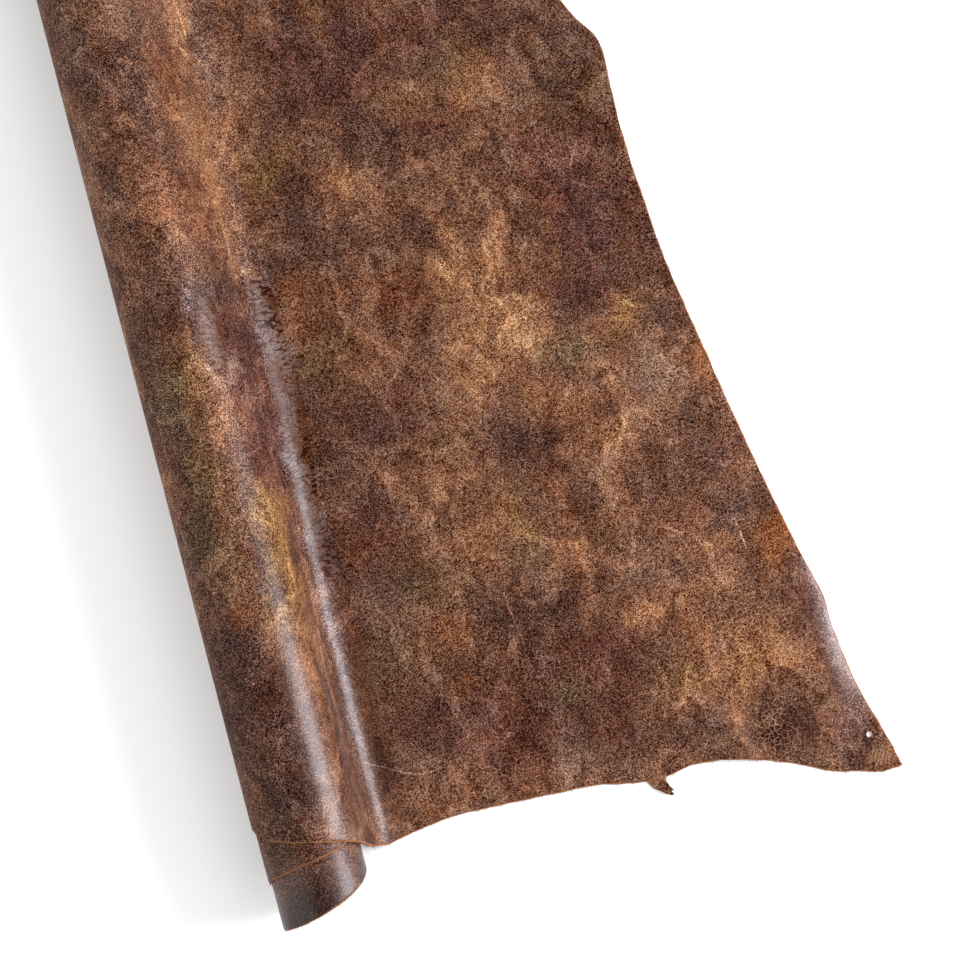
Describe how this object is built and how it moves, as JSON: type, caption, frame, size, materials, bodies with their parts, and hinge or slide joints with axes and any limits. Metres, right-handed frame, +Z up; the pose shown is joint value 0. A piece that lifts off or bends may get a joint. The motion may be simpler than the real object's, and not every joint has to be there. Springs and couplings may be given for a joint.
{
  "type": "double leather shoulder, part rolled",
  "caption": "One-piece leather shoulder laid grain side up, its left side wound into a loose roll, with a knife-cut margin all round.",
  "frame": {"origin": "centre of the footprint, on the surface that the leather lies on", "axes": "+X from the roll to the flat side, +Y along the roll from the rear margin to the neck, +Z up out of the grain side"},
  "size_m": [0.6378, 1.1292, 0.1016],
  "materials": {
    "crackled_leather": "waxy crackled grain in mottled dark brown, with tan where the leather pulls up lighter"
  },
  "bodies": {
    "root": {"leather": "crackled_leather"}
  },
  "joints": []
}
